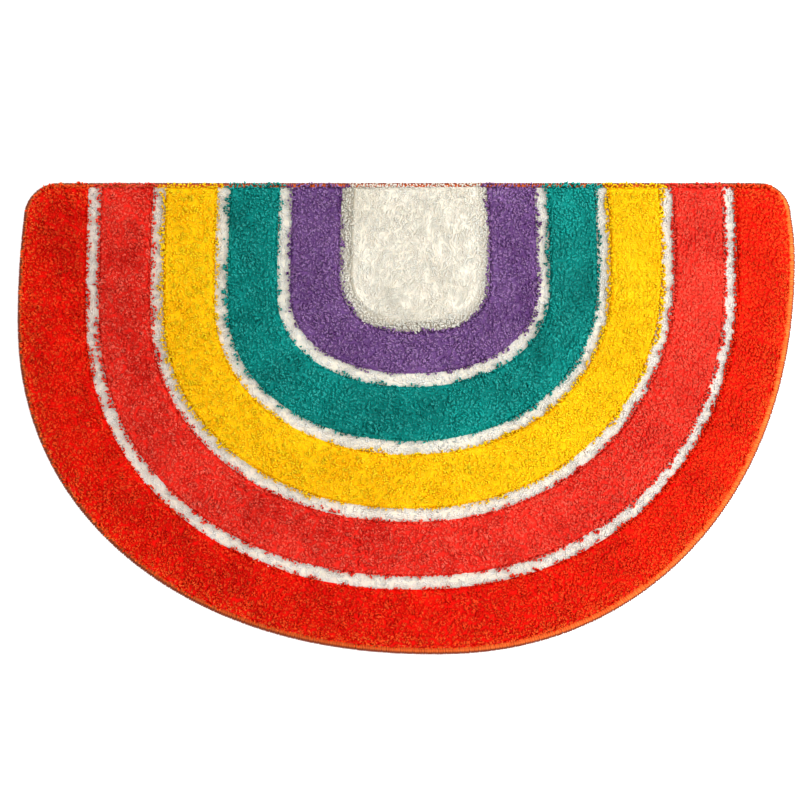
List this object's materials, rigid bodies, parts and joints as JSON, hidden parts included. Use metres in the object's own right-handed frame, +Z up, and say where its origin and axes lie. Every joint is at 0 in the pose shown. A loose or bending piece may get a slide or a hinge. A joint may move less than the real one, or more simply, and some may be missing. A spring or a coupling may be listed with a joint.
{
  "type": "half-round doormat",
  "caption": "Flat half-round tufted doormat with raised rainbow bands parted by low white lines round a white middle, and an overlocked yarn edging.",
  "frame": {"origin": "centre of the mat's box at floor level, on the flat underside", "axes": "+X along the straight edge, +Y towards the straight edge, +Z up out of the pile"},
  "size_m": [0.75, 0.455, 0.015],
  "materials": {
    "red_yarn": "cut pile, matt",
    "coral_yarn": "cut pile, matt",
    "yellow_yarn": "cut pile, matt",
    "teal_yarn": "cut pile, matt",
    "purple_yarn": "cut pile, matt",
    "white_yarn": "cut pile, matt",
    "orange_yarn": "overlocked yarn, matt",
    "backing_cloth": "plain woven cloth, matt"
  },
  "bodies": {
    "root": {"tufted_mat": "red_yarn", "edging": "orange_yarn"}
  },
  "joints": []
}
